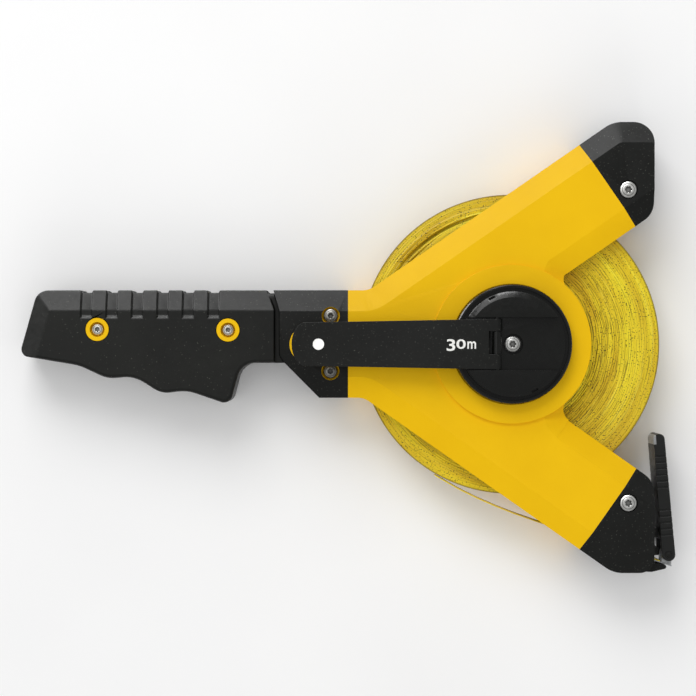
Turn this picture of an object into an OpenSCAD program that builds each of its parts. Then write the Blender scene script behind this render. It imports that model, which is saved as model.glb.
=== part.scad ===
// Open frame surveyor tape reel.
// It lies flat on its back.  The hub axis is Z, the handle points to -X.
// The tape leaves at lower right.

/* [Frame] */
// Thickness between the two flat faces of the frame
frame_t = 36; // [32:0.5:44]
// Wall of the moulded shells
wall = 2.5; // [2:0.1:4]
// Width of the bevelled band along the long edges
bevel_w = 10.6; // [6:0.1:14]
// Drop of that band
bevel_drop = 4.5; // [2:0.1:7]
// Width of each arm
arm_w = 49.6; // [40:0.1:60]
// Angle of the upper arm above X
arm_up = 34.6; // [25:0.1:45]
// Angle of the lower arm below X
arm_down = 35.1; // [25:0.1:45]
// Radius of the hub boss
boss_r = 40; // [34:0.5:46]
// Height of the front boss over the frame
boss_rise = 1.5; // [0.5:0.1:3]
// Radius of the corner between arm and boss
notch_r = 6.5; // [3:0.5:12]

/* [Tape] */
// Outer radius of the full roll
roll_r = 75.5; // [60:0.5:80]
// Width of the tape
tape_w = 13; // [10:0.5:19]
// Thickness of the tape
tape_t = 0.5; // [0.3:0.05:1]
// Radius of the drum core
core_r = 38; // [25:0.5:45]

/* [Crank] */
// Radius of the crank disc
disc_r = 29.5; // [26:0.5:34]
// Height of the disc over the frame
disc_rise = 13.5; // [12:0.5:18]
// Thickness of the crank arm
crank_t = 4.5; // [3:0.1:6]
// Half width of the crank arm at the hinge
crank_w0 = 12.5; // [9:0.1:12.6]
// Half width of the crank arm at the knob
crank_w1 = 10.8; // [8:0.1:12]
// Distance from the hub axis to the end of the crank arm
crank_reach = 109.7; // [90:0.1:112]
// Radius of the knob
knob_r = 9; // [7:0.1:10.5]

/* [Hook] */
// Length of the hook lever above its pin
hook_l = 61; // [45:1:70]
// Thickness of the hook lever
hook_t = 5.6; // [4:0.1:8]
// Depth of the hook lever
hook_d = 22; // [15:0.5:24]

/* [Hidden] */
half = frame_t / 2;
slope = bevel_drop / bevel_w;
fit = 0.05;
gap = 0.3;
eps = 1;

// ends of the two arms, outer corners
up_corner = [34.4, 100];
down_corner = [34.5, -103];
up_back = 128;
down_back = 131.6;

// handle root and collar
root_x = -81.75;
root_top = 27.1;
root_low = -26.9;
root_w = root_top - root_low;
collar_x = -116;
collar_top_x = -119.2;
core_x = -236;
core_top = 18;
core_low = -3;
core_h = 11;
collar_core = [[-111, 20], [-111, -8], [-100, -19], [-81.75, -19], [-81.75, 20]];

// grip
grip_h = 16;
grip_end_x = -118.7;
grip_lip_h = 13;
groove_n = 6;
groove_x = -215.7;
groove_pitch = 12.75;
groove_w = 5.5;
groove_d = 1.2;
// outline of the grip: corner points with the radius of each corner
grip_profile = [
    [-122.2, 27.1, 0], [-237.9, 27.1, 7.2], [-247.1, -5.6, 4], [-216.5, -10.7, 25],
    [-202.5, -17.3, 16], [-189, -16.1, 16], [-175.3, -24.8, 12], [-162.5, -23.2, 20],
    [-140.9, -30.6, 4.5], [-135.2, -9.4, 9], [-118.7, -9.4, 0], [-118.7, 17.6, 0]
];

// fasteners: position, all parallel to the hub axis
grip_screw_at = [[-207.4, 7.4], [-141.9, 7.1]];
collar_screw_at = [[-90.4, 14.2], [-90.6, -13.5]];
cap_screw_at = [[58.5, 77.3], [58.5, -79.5]];
ring_r = 5.75;
ring_bore = 3.7;
collar_ring_r = 4.5;
collar_bore = 4.2;
cap_bore = 4.7;

// oblong rest under the folded knob
rest_x = [-101.7, -97];
rest_r = 9.3;

// end caps
root_fillet = 9.5;
hip_r = 16;
hip_ease = 0.03;
tongue_v = [25, 38];
tongue_l = 14;
cap_depth = 16;
cap_side = 71.6;
cap_top = 111.6;
cap_low = -114.9;
cap_round = 10;
// where each cap's end edge meets the line of its arm's outer edge
up_hip = [up_corner.x + (cap_top - up_corner.y) / tan(arm_up), cap_top];
down_hip = [down_corner.x + (down_corner.y - cap_low) / tan(arm_down), cap_low];
// where each arm's inner edge meets its cap
up_seam = up_corner + arm_w * [sin(arm_up), -cos(arm_up)];
down_seam = down_corner + arm_w * [sin(arm_down), cos(arm_down)];

// drum and spindle
slot_r = 78;
slot_h = 8.5;
bore_r = 24;
seat_r = disc_r + 0.7;
post_h = 10;
spindle_r = 4;
spindle_top = 9.5;
flange_h = tape_w / 2 + 0.25;

// heights over the parting plane
disc_bottom = half + 0.5;
disc_top = half + disc_rise;
arm_top = disc_top;
arm_bottom = arm_top - crank_t;
floor_h = arm_bottom - gap;
arm_step = 2;
hinge_x = -8;
hinge_h = (arm_top + arm_bottom) / 2;
hinge_pin_r = 1.2;
channel_y = [-12.9, 13.3];
knuckle_y = [-4.7, 6.2];
knob_x = -96.4;
knob_top = arm_bottom - arm_step - gap;
knob_bottom = half + 0.6;
rivet_r = 2;

// tape path, from the roll to the mouth
run_pts = [
    [-37.6, -66.1], [-31.6, -69.55], [-26.2, -72.7], [-16.3, -77.6], [-6.7, -81.8],
    [3, -85.6], [13.1, -89.2], [34, -95.87], [76, -109.27]
];
run_a = atan2(run_pts[8].y - run_pts[7].y, run_pts[8].x - run_pts[7].x);
mouth = [73.9, -108.6];

// hook
hook_at = [79.7, -105.9];
hook_lean = 4.8;
hook_pin_r = 1.6;
hook_end_r = 3.3;
ear_h = [4.9, 5.7];
fork_h = 6;
rib_n = 5;
rib_d = 0.5;
tip_l = 5.2;

$fn = 96;

// ---------- shared helpers; heights count from the parting plane ----------

module on_plane() {
    translate([0, 0, half]) children();
}

module back_side() {
    mirror([0, 0, 1]) children();
}

module both_sides() {
    children();
    back_side() children();
}

function unit(v) = v / norm(v);

// closed outline through corner points [x, y, radius], each corner rounded with a tangent arc
function rounded(pts) = let (n = len(pts)) [
    for (i = [0:n - 1])
        let (
            b = [pts[i].x, pts[i].y],
            r = pts[i][2],
            before = pts[(i + n - 1) % n],
            after = pts[(i + 1) % n],
            u = unit([before.x, before.y] - b),
            v = unit([after.x, after.y] - b),
            half_angle = acos(u * v) / 2,
            centre = b + unit(u + v) * r / sin(half_angle),
            start = b + u * r / tan(half_angle) - centre,
            turn = (u.x * v.y - u.y * v.x > 0 ? -1 : 1) * (180 - 2 * half_angle),
            steps = r == 0 ? 0 : ceil(abs(turn) / 7)
        )
        for (k = [0:steps])
            r == 0 ? b : centre + turned(start, steps == 0 ? 0 : turn * k / steps)
];

function turned(v, a) = [v.x * cos(a) - v.y * sin(a), v.x * sin(a) + v.y * cos(a)];

function ray(a, l = 1) = l * [cos(a), sin(a)];

// frame of the upper arm: x along the arm, y from its outer edge inwards
module upper_arm() {
    translate(up_corner) rotate(arm_up) mirror([0, 1, 0]) children();
}

module lower_arm() {
    translate(down_corner) rotate(-arm_down) children();
}

// extrude a cross section along x from u0 to u1
module bar(u0, u1) {
    translate([u0, 0, 0]) rotate([90, 0, 90]) linear_extrude(u1 - u0) children();
}

// bevelled section; over lets it run past both flat faces, to be trimmed afterwards
module bar_section(w, over = 1) {
    polygon([
        [0, -over], [w, -over], [w, half - bevel_drop],
        [w - bevel_w - over, half + over * slope], [bevel_w + over, half + over * slope],
        [0, half - bevel_drop]
    ]);
}

module bar_hollow(w, over = 1) {
    low = half - bevel_drop - wall * 0.6;
    edge = bevel_w + 0.5;
    rise = (half - wall - low) / (edge - wall);
    polygon([
        [wall, -over], [w - wall, -over], [w - wall, low],
        [w - edge - over, half - wall + over * rise], [edge + over, half - wall + over * rise],
        [wall, low]
    ]);
}

// wedge that bevels the edge at y = 0 of a plate lying towards +y
module edge_wedge(u0, u1, w = bevel_w, drop = bevel_drop, top = half) {
    s = drop / w;
    bar(u0, u1) polygon([[-6, top - drop - 6 * s], [w + 6, top + 6 * s], [-6, top + 6 * s]]);
}

// six lobed socket, cut downwards from height 0
module star_socket(r, depth) {
    translate([0, 0, -depth]) linear_extrude(depth + eps) {
        circle(r = r * 0.72, $fn = 24);
        for (i = [0:5]) rotate(i * 60) translate([r * 0.72, 0]) circle(r = r * 0.28, $fn = 24);
    }
}

// pan head screw; head top at height 0
module pan_screw(head_r, head_t, shank_r, length) {
    difference() {
        union() {
            translate([0, 0, -head_t * 0.55])
                cylinder(r1 = head_r, r2 = head_r * 0.72, h = head_t * 0.55);
            translate([0, 0, -head_t]) cylinder(r = head_r, h = head_t * 0.45);
            translate([0, 0, -length]) cylinder(r = shank_r, h = length - head_t);
        }
        star_socket(head_r * 0.5, head_t * 0.6);
    }
}

// ---------- yellow frame ----------

// profile of a bevelled edge that turns round a corner of radius r; sign is -1 for a hollow corner
module turned_edge(r, sign) {
    low = half - bevel_drop;
    reach = 1.5;
    rotate_extrude() polygon([
        [0, -8], [r, -8], [r, low],
        [r - sign * (bevel_w + reach), low + slope * (bevel_w + reach)],
        [0, low + slope * (bevel_w + reach)]
    ]);
}

// fills a hollow corner about c, between the directions a0 and a1, with a fillet of radius r
module hollow_corner(c, r, a0, a1) {
    mid = (a0 + a1) / 2;
    deep = r + bevel_w + 2;
    translate([c.x, c.y, -2]) difference() {
        linear_extrude(half + 4)
            polygon([[0, 0], ray(a0, deep), ray(mid, deep / cos((a1 - a0) / 2)), ray(a1, deep)]);
        translate([0, 0, 2]) turned_edge(r, -1);
    }
}

// the corners between the handle root and the two arms
module root_corner(turn) {
    slant = turn > 0 ? arm_up : arm_down;
    corner = turn > 0 ? up_corner : down_corner;
    edge = turn > 0 ? root_top : root_low;
    x = corner.x - turn * (corner.y - edge) / tan(slant);
    t = root_fillet * tan(slant / 2);
    hollow_corner([x - t, edge + turn * root_fillet], root_fillet, turn * -90, turn * (slant - 90));
}

// the corners between an arm and the boss
module corner_web(turn) {
    slant = turn > 0 ? arm_up : arm_down;
    // distance of the inner arm edge from the hub axis
    d = turn > 0 ? 14.6 : 14.4;
    reach = boss_r + notch_r - 0.1;
    along = sqrt(reach * reach - (d - notch_r) * (d - notch_r));
    mirror([0, turn > 0 ? 0 : 1, 0]) rotate(slant)
        hollow_corner([along, d - notch_r], notch_r, 90, 180 + atan2(d - notch_r, along));
}

module slab(height) {
    translate([-300, -200, 0]) cube([500, 400, height]);
}

module frame_skin() {
    intersection() {
        union() {
            upper_arm() bar(-up_back, 0) bar_section(arm_w, 1);
            lower_arm() bar(-down_back, 0) bar_section(arm_w, 1.5);
            translate([root_x, root_low, 0]) bar(0, 52) bar_section(root_w, 2);
            translate([0, 0, -3]) cylinder(r = boss_r, h = half + 6);
            corner_web(1);
            corner_web(-1);
            root_corner(1);
            root_corner(-1);
        }
        slab(half);
    }
}

module frame_hollow() {
    intersection() {
        union() {
            upper_arm() bar(8 - up_back, eps) bar_hollow(arm_w, 1);
            lower_arm() bar(8 - down_back, eps) bar_hollow(arm_w, 1.5);
            translate([root_x + wall, root_low, 0]) bar(0, 48) bar_hollow(root_w, 2);
            translate([0, 0, -3]) cylinder(r = boss_r - wall, h = half + 6);
        }
        translate([0, 0, -eps]) slab(half - wall + eps);
    }
}

// handle core with the raised rings that show through the grip and the collar
module handle_core() {
    difference() {
        union() {
            translate([core_x, core_low, 0]) cube([root_x - core_x, core_top - core_low, core_h]);
            linear_extrude(core_h) polygon(collar_core);
        }
        translate([core_x + 3, core_low + 3, -eps])
            cube([root_x - core_x - 30, core_top - core_low - 6, core_h - 2]);
    }
    for (p = grip_screw_at) translate(p) cylinder(r = ring_r, h = grip_h + 0.3);
    for (p = collar_screw_at) translate(p) cylinder(r = collar_ring_r, h = half - 1.5);
}

module screw_holes(depth) {
    for (p = concat(grip_screw_at, collar_screw_at))
        translate([p.x, p.y, -eps]) cylinder(r = 1.5, h = depth + eps);
    for (p = cap_screw_at)
        translate([p.x, p.y, -eps]) cylinder(r = 2, h = depth + 1 + eps);
}

// tongue that reaches into an end cap, and the block that ties it to the skin
module tongue() {
    w = tongue_v[1] - tongue_v[0];
    translate([-4, tongue_v[0], 0]) cube([tongue_l + 4, w, half - wall - gap]);
    translate([-9, tongue_v[0] - 1, 0]) cube([6, w + 2, half - wall / 2]);
}

// everything both shells share
module shell_half(hole_depth) {
    difference() {
        union() {
            difference() {
                frame_skin();
                frame_hollow();
            }
            handle_core();
            upper_arm() tongue();
            lower_arm() tongue();
        }
        translate([0, 0, -eps]) cylinder(r = slot_r, h = slot_h + eps);
        lower_arm() translate([-50, -eps, -eps]) cube([41, wall + 2 * eps, slot_h + eps]);
        screw_holes(hole_depth);
    }
}

module front_shell() {
    color("#ebba1e") on_plane() difference() {
        union() {
            shell_half(40);
            translate([0, 0, half - 1]) cylinder(r = boss_r - 0.3, h = boss_rise + 1);
            for (x = rest_x) translate([x, 0, 0]) cylinder(r = rest_r, h = half + 0.2);
            translate([rest_x[0], -rest_r, 0])
                cube([rest_x[1] - rest_x[0], 2 * rest_r, half + 0.2]);
        }
        translate([0, 0, half]) cylinder(r = seat_r, h = 10);
        translate([0, 0, half - wall - eps]) cylinder(r = bore_r, h = 10);
        for (p = grip_screw_at) translate([p.x, p.y, grip_h - 2.7]) cylinder(r = ring_bore, h = 9);
        for (p = collar_screw_at) translate([p.x, p.y, half - 4.5]) cylinder(r = collar_bore, h = 9);
    }
}

module rear_shell() {
    color("#ebba1e") on_plane() back_side() difference() {
        union() {
            shell_half(9);
            translate([0, 0, post_h - 2]) cylinder(r = 9, h = half - wall / 2 - post_h + 2);
        }
        translate([0, 0, post_h - 2 - eps]) cylinder(r = spindle_r, h = half - post_h - wall + 2 + eps);
        translate([0, 0, half - 0.6]) difference() {
            cylinder(r = boss_r, h = 2);
            translate([0, 0, -eps]) cylinder(r = boss_r - 0.8, h = 4);
        }
    }
}

// ---------- handle covers ----------

module grip_half() {
    difference() {
        union() {
            linear_extrude(grip_h) polygon(rounded(grip_profile));
            // recessed lip that runs up to the collar
            linear_extrude(grip_lip_h) polygon([
                [-124, root_top - 1.5], [collar_top_x + 0.4, root_top - 1.5], [collar_x, 17],
                [collar_x, -5.5], [-113.6, -9.4], [grip_end_x - eps, -9.4], [grip_end_x - eps, 17]
            ]);
        }
        // bevel along the back of the hand
        translate([0, root_top, 0]) mirror([0, 1, 0]) edge_wedge(-260, -100, 10.2, 4.4, grip_h);
        // bevel at the butt
        translate([-242.2, 12, 0]) rotate(-105.7) edge_wedge(-40, 40, 9, 4, grip_h);
        for (i = [0:groove_n - 1]) translate([groove_x + i * groove_pitch, 13, 0]) {
            translate([0, 0, -eps]) translate([0, root_top - 13 - groove_d, 0]) cube([groove_w, 9, 60]);
            bar(0, groove_w) polygon([
                [0, grip_h], [1.4, grip_h - groove_d], [4.2, grip_h - groove_d],
                [15, grip_h - groove_d - 10.8 * 0.431], [15, grip_h + 9], [0, grip_h + 9]
            ]);
        }
        handle_core_block();
        for (p = grip_screw_at) translate([p.x, p.y, 0]) cylinder(r = ring_r, h = 60);
    }
}

module handle_core_block() {
    translate([core_x, core_low, -eps]) cube([root_x - core_x, core_top - core_low, core_h + eps]);
}

module collar_half() {
    difference() {
        intersection() {
            translate([-130, root_low, 0]) bar(0, root_x + 130) bar_section(root_w);
            linear_extrude(half) polygon([
                [root_x, 40], [-123.2, 40], [collar_top_x, root_top], [collar_x, 17],
                [collar_x, -5.5], [-113.6, -9.4], [-96.2, root_low], [root_x, root_low]
            ]);
        }
        translate([-113.6, -9.4, 0]) rotate(-45.2) edge_wedge(-30, 60, 9, 4.2);
        handle_core_block();
        translate([0, 0, -eps]) linear_extrude(core_h + eps) polygon(collar_core);
        for (p = collar_screw_at) translate([p.x, p.y, 0]) cylinder(r = collar_ring_r, h = 60);
    }
}

module grip_front() {
    color("#2c2c2a") on_plane() grip_half();
}

module grip_rear() {
    color("#2c2c2a") on_plane() back_side() grip_half();
}

module collar_front() {
    color("#2a2a28") on_plane() difference() {
        collar_half();
        for (x = rest_x) translate([x, 0, 0]) cylinder(r = rest_r, h = 60);
        translate([rest_x[0], -rest_r, 0]) cube([rest_x[1] - rest_x[0], 2 * rest_r, 60]);
    }
}

module collar_rear() {
    color("#2a2a28") on_plane() back_side() collar_half();
}

// ---------- end caps ----------

// corner where the arm's inner edge line meets the right side
function on_side(seam, slant, turn) =
    [cap_side, seam.y + turn * (cap_side - seam.x) * tan(slant), cap_round];

// a cap's half: outline with the bevels of the arm and of its own end
module cap_half(corner, seam, hip, slant, turn) {
    c = hip + hip_r * [tan(slant / 2), -turn];
    difference() {
        linear_extrude(half) polygon(rounded([
            [corner.x, corner.y, 0], [hip.x, hip.y, 0], [cap_side, hip.y, turn > 0 ? cap_round : 7],
            on_side(seam, slant, turn), [seam.x, seam.y, 0]
        ]));
        translate(corner) rotate(turn * slant) mirror([0, turn > 0 ? 1 : 0, 0]) edge_wedge(-2, 40);
        translate(seam) rotate(turn * slant) mirror([0, turn > 0 ? 0 : 1, 0]) edge_wedge(-2, 40);
        translate([0, hip.y, 0]) mirror([0, turn > 0 ? 1 : 0, 0]) edge_wedge(hip.x - 8, 120);
        translate([c.x, c.y, 0]) difference() {
            linear_extrude(half + eps) polygon([
                [0, 0], ray(turn * 90, 30), ray(turn * (90 + slant / 2), 32),
                ray(turn * (90 + slant), 30)
            ]);
            turned_edge(hip_r + hip_ease, 1);
        }
    }
}

module cap_pocket() {
    bar(-eps, cap_depth) bar_hollow(arm_w);
}

module upper_cap() {
    color("#262624") on_plane() difference() {
        both_sides() difference() {
            cap_half(up_corner, up_seam, up_hip, arm_up, 1);
            upper_arm() cap_pocket();
        }
        translate([cap_screw_at[0].x, cap_screw_at[0].y, -10]) cylinder(r = 2, h = 60);
        translate([cap_screw_at[0].x, cap_screw_at[0].y, half - 2]) cylinder(r = cap_bore, h = 60);
    }
}

module lower_cap() {
    color("#262624") on_plane() difference() {
        union() {
            both_sides() difference() {
                cap_half(down_corner, down_seam, down_hip, arm_down, -1);
                lower_arm() cap_pocket();
            }
            // lip under the mouth
            translate([0, 0, -9]) linear_extrude(18) hull() {
                translate([66, -111.9]) circle(r = 2.6, $fn = 32);
                translate([77.6, -112.2]) circle(r = 1.1, $fn = 32);
                translate([71, -113.6]) circle(r = 1.2, $fn = 32);
            }
        }
        // slot for the tape, deeper at the mouth for the clip
        translate([mouth.x, mouth.y, -tape_w / 2 - 1]) rotate(run_a) {
            translate([-46, -tape_t, 0]) cube([60, 3.8, tape_w + 2]);
            translate([-3, -tape_t - 0.6, 0]) cube([20, 3, tape_w + 2]);
        }
        translate([cap_screw_at[1].x, cap_screw_at[1].y, -10]) cylinder(r = 2, h = 60);
        translate([cap_screw_at[1].x, cap_screw_at[1].y, half - 2]) cylinder(r = cap_bore, h = 60);
    }
}

// ---------- drum ----------

module spindle() {
    color("#b8bcc0") on_plane() translate([0, 0, wall - half])
        cylinder(r = spindle_r, h = spindle_top + half - wall);
}

module drum_core() {
    color("#3a3a38") on_plane() rotate_extrude() polygon([
        [spindle_r + fit, -post_h + 2.5], [9, -post_h + 2.5], [9, -2], [core_r - wall, -2],
        [core_r - wall, -flange_h], [core_r, -flange_h], [core_r, flange_h],
        [core_r - wall, flange_h], [core_r - wall, 1], [9, 1], [9, 12], [27, 12],
        [27, half - wall - 0.4], [bore_r - fit, half - wall - 0.4], [bore_r - fit, disc_bottom],
        [bore_r - 4, disc_bottom], [bore_r - 4, 14.5], [6, 14.5], [6, disc_bottom],
        [2, disc_bottom], [2, 13], [0, 13], [0, spindle_top + 0.5],
        [spindle_r + fit, spindle_top + 0.5]
    ]);
}

module wound_tape() {
    color("#e4d428") on_plane() translate([0, 0, -tape_w / 2]) difference() {
        cylinder(r = roll_r, h = tape_w, $fn = 180);
        translate([0, 0, -eps]) cylinder(r = core_r, h = tape_w + 2 * eps);
    }
}

// offset of one side of the tape path
function side(i) = let (
    n = len(run_pts) - 1,
    a = run_pts[max(i - 1, 0)],
    b = run_pts[min(i + 1, n)],
    d = (b - a) / norm(b - a)
) run_pts[i] + tape_t * [d.y, -d.x];

module tape_run() {
    n = len(run_pts) - 1;
    color("#e4d428") on_plane() translate([0, 0, -tape_w / 2]) linear_extrude(tape_w)
        polygon(concat([for (i = [0:n]) run_pts[i]], [for (i = [n:-1:0]) side(i)]));
}

// ---------- crank ----------

module crank_disc() {
    color("#262624") on_plane() difference() {
        rotate_extrude() polygon([
            [0, disc_bottom], [disc_r - 0.6, disc_bottom], [disc_r, disc_bottom + 0.6],
            [disc_r, floor_h - 0.5], [disc_r - 0.5, floor_h], [disc_r - 1.5, floor_h],
            [disc_r - 1.5, floor_h - 1.6], [26.1, floor_h - 1.6], [26.1, disc_top - 1.3],
            [23.2, disc_top], [0, disc_top]
        ]);
        // channel that takes the crank arm
        difference() {
            translate([-40, channel_y[0], floor_h]) cube([80, channel_y[1] - channel_y[0], 20]);
            translate([hinge_x - 2.3, knuckle_y[0], floor_h - eps])
                cube([4.6, knuckle_y[1] - knuckle_y[0], hinge_h - floor_h + eps]);
            translate([hinge_x, knuckle_y[0], hinge_h]) rotate([-90, 0, 0])
                cylinder(r = 2.25, h = knuckle_y[1] - knuckle_y[0], $fn = 48);
        }
        translate([0, 0, floor_h - 3]) cylinder(r = 5.2, h = 4);
        translate([0, 0, disc_bottom - eps]) cylinder(r = 2, h = 20);
        translate([hinge_x, -17, hinge_h]) rotate([-90, 0, 0])
            cylinder(r = hinge_pin_r, h = 34, $fn = 48);
        for (a = [115, 295]) rotate(a) translate([25.2, 0, disc_top - 4]) hull() {
            translate([0, -1.2, 0]) cylinder(r = 0.6, h = 6, $fn = 24);
            translate([0, 1.2, 0]) cylinder(r = 0.6, h = 6, $fn = 24);
        }
    }
}

module disc_screw() {
    color("#c4c8cc") on_plane() translate([0, 0, floor_h - 0.3]) pan_screw(4.1, 2.7, 2, 12.6);
}

module hinge_pin() {
    color("#b8bcc0") on_plane() translate([hinge_x, -17, hinge_h]) rotate([-90, 0, 0])
        cylinder(r = hinge_pin_r, h = 34, $fn = 48);
}

module crank_outline() {
    end_x = knob_x - 6;
    difference() {
        polygon(concat(
            [[hinge_x + 3, -crank_w0], [hinge_x + 3, crank_w0]],
            [for (a = [90:7.5:270]) [end_x - (crank_reach + end_x) * -cos(a), crank_w1 * sin(a)]]
        ));
        translate([hinge_x - 4.1, knuckle_y[0] - gap])
            square([20, knuckle_y[1] - knuckle_y[0] + 2 * gap]);
    }
}

module crank_arm() {
    low = arm_bottom - arm_step;
    color("#2e2e2c") on_plane() difference() {
        intersection() {
            linear_extrude(60) crank_outline();
            union() {
                translate([0, 20, 0]) rotate([90, 0, 0]) linear_extrude(40) polygon([
                    [hinge_x, arm_bottom], [hinge_x, arm_top], [-40.8, arm_top],
                    [-50.2, arm_top - arm_step], [-120, arm_top - arm_step],
                    [-120, low], [-50.2, low], [-40.8, arm_bottom]
                ]);
                translate([hinge_x, -20, hinge_h]) rotate([-90, 0, 0])
                    cylinder(r = crank_t / 2, h = 40, $fn = 48);
            }
        }
        translate([hinge_x, -20, hinge_h]) rotate([-90, 0, 0])
            cylinder(r = hinge_pin_r + fit, h = 40, $fn = 48);
        translate([knob_x, 0, 0]) cylinder(r = rivet_r, h = 60);
        translate([knob_x, 0, arm_top - arm_step - 1]) cylinder(r = 2.8, h = 9);
    }
}

module knob_rivet() {
    color("#d8dade") on_plane() translate([knob_x, 0, 0]) {
        translate([0, 0, arm_top - arm_step - 1]) cylinder(r = 2.8, h = 0.9);
        translate([0, 0, knob_bottom + 0.4])
            cylinder(r = rivet_r, h = arm_top - arm_step - 1.4 - knob_bottom);
        translate([0, 0, knob_bottom + 0.4]) cylinder(r = 3.4, h = 1);
    }
}

module knob() {
    h = knob_top - knob_bottom;
    color("#ebba1e") on_plane() translate([knob_x, 0, knob_bottom]) rotate_extrude() polygon([
        [rivet_r + fit, h], [knob_r - 1.6, h], [knob_r - 0.8, h - 0.8], [knob_r - 1.2, h / 2],
        [knob_r, 1.2], [knob_r - 1, 0], [3.8, 0], [3.8, 1.7], [rivet_r + fit, 1.7]
    ]);
}

// ---------- screws ----------

module grip_screws() {
    color("#a8acb0") on_plane() for (p = grip_screw_at)
        translate([p.x, p.y, grip_h - 0.7]) pan_screw(3, 2, 1.5, 23);
}

module collar_screws() {
    color("#a8acb0") on_plane() for (p = collar_screw_at)
        translate([p.x, p.y, half - 0.8]) pan_screw(3.5, 2.2, 1.5, 26);
}

module cap_screws() {
    color("#c4c8cc") on_plane() for (p = cap_screw_at)
        translate([p.x, p.y, half + 0.3]) pan_screw(4.25, 2.3, 2, 28);
}

// ---------- end hook ----------

module hook_frame() {
    translate([hook_at.x, hook_at.y, 0]) rotate(hook_lean) children();
}

module hook_outline() {
    hull() {
        circle(r = hook_end_r);
        translate([0, 12]) circle(r = hook_t / 2);
        translate([0, hook_l - hook_t / 2]) circle(r = hook_t / 2);
    }
}

module end_clip() {
    color("#b4b8bc") on_plane() difference() {
        union() {
            // plate under the tape
            translate([mouth.x, mouth.y, -6.3]) rotate(run_a)
                translate([-3, -tape_t - 0.6, 0]) cube([11.5, 0.6, 12.6]);
            // two ears that carry the pin
            for (s = [0, 1]) mirror([0, 0, s]) translate([0, 0, ear_h[0]])
                linear_extrude(ear_h[1] - ear_h[0]) hull() {
                    translate(hook_at) circle(r = 2.6, $fn = 32);
                    translate([mouth.x, mouth.y]) rotate(run_a)
                        translate([3.2, -tape_t - 0.5]) square([5, 0.4]);
                }
        }
        translate([hook_at.x, hook_at.y, -20]) cylinder(r = hook_pin_r, h = 40);
    }
}

module hook_pin() {
    color("#b8bcc0") on_plane() translate([hook_at.x, hook_at.y, -hook_d / 2 - 0.2])
        cylinder(r = hook_pin_r, h = hook_d + 0.4);
}

module hook_lever() {
    color("#242422") on_plane() hook_frame() difference() {
        translate([0, 0, -hook_d / 2]) linear_extrude(hook_d) hook_outline();
        translate([0, 0, -20]) cylinder(r = hook_pin_r + fit, h = 40);
        // fork that straddles the clip
        translate([-10, -10, -fork_h]) cube([20, 17.5, 2 * fork_h]);
        // seat of the steel tip
        translate([-hook_t, hook_l - tip_l, -30]) cube([hook_t - 1.4, 20, 60]);
        // grip ribs, front and back
        for (s = [0, 1]) mirror([0, 0, s]) for (k = [0:rib_n]) {
            translate([-5, 33.5 + k * 3.15, hook_d / 2 - rib_d]) cube([10, 0.9, 2]);
            if (k < rib_n) translate([-5, 9.5 + k * 3.15, hook_d / 2 - rib_d]) cube([10, 0.9, 2]);
        }
    }
}

module hook_tip() {
    color("#c4c8cc") on_plane() hook_frame() translate([0, 0, -hook_d / 2 + 0.6])
        linear_extrude(hook_d - 1.2) intersection() {
            hook_outline();
            translate([-hook_t, hook_l - tip_l]) square([hook_t - 1.4, 20]);
        }
}

module hook_catch() {
    color("#2e2e2c") on_plane() translate([cap_side, -106.5, -7]) difference() {
        cube([3.3, 13.5, 14]);
        translate([1.2, 4, -eps]) cube([3, 5, 14 + 2 * eps]);
    }
}

front_shell();
rear_shell();
grip_front();
grip_rear();
collar_front();
collar_rear();
upper_cap();
lower_cap();
spindle();
drum_core();
wound_tape();
tape_run();
crank_disc();
disc_screw();
hinge_pin();
crank_arm();
knob_rivet();
knob();
grip_screws();
collar_screws();
cap_screws();
end_clip();
hook_pin();
hook_lever();
hook_tip();
hook_catch();
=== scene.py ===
# %% [markdown]
# # A surveyor's tape reel
# The reel is two yellow half shells screwed together round a drum of coated glass fibre tape. A
# black crank lies folded over the handle, and the end hook is parked beside the lower arm. The
# hard parts come ready made, as a frame of real solids with their joints. They could be modelled
# again by hand, but then sizes and joints would drift apart. So the solids stay where they are,
# and this lesson adds what they lack: softened edges, finishes, light, and a few finer surfaces.

import math

import bmesh
import bpy
import numpy as np
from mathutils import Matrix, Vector


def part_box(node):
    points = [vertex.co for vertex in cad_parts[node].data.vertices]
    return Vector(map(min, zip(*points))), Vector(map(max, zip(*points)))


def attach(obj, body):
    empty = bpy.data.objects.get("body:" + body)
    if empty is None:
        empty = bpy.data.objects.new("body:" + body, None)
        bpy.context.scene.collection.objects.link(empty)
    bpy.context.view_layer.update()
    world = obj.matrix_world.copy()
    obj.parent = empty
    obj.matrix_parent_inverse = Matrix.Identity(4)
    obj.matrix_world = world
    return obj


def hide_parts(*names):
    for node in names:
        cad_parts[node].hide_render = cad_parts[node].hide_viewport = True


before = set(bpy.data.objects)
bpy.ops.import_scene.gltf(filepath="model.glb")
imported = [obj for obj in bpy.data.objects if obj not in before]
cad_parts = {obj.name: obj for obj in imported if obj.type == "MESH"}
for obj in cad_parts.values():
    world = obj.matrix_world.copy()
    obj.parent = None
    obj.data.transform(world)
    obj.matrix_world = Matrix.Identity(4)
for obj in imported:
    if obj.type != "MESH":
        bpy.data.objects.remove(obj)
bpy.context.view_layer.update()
MM = 0.001
# height in mm of the seam where the two shells meet
MID = round(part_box("rear_shell")[1].z / MM, 2)
print("nodes:", len(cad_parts), "seam at", MID, "mm")

# %% [markdown]
# ## Colour
# Paints and plastics are named by how they look on a screen, as sRGB hex values. Shaders add up
# light, which is not the same scale. The values could be turned by hand, but one function keeps
# the hex values readable in the script and does the sum in one place.

# %% From hex to linear light


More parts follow.
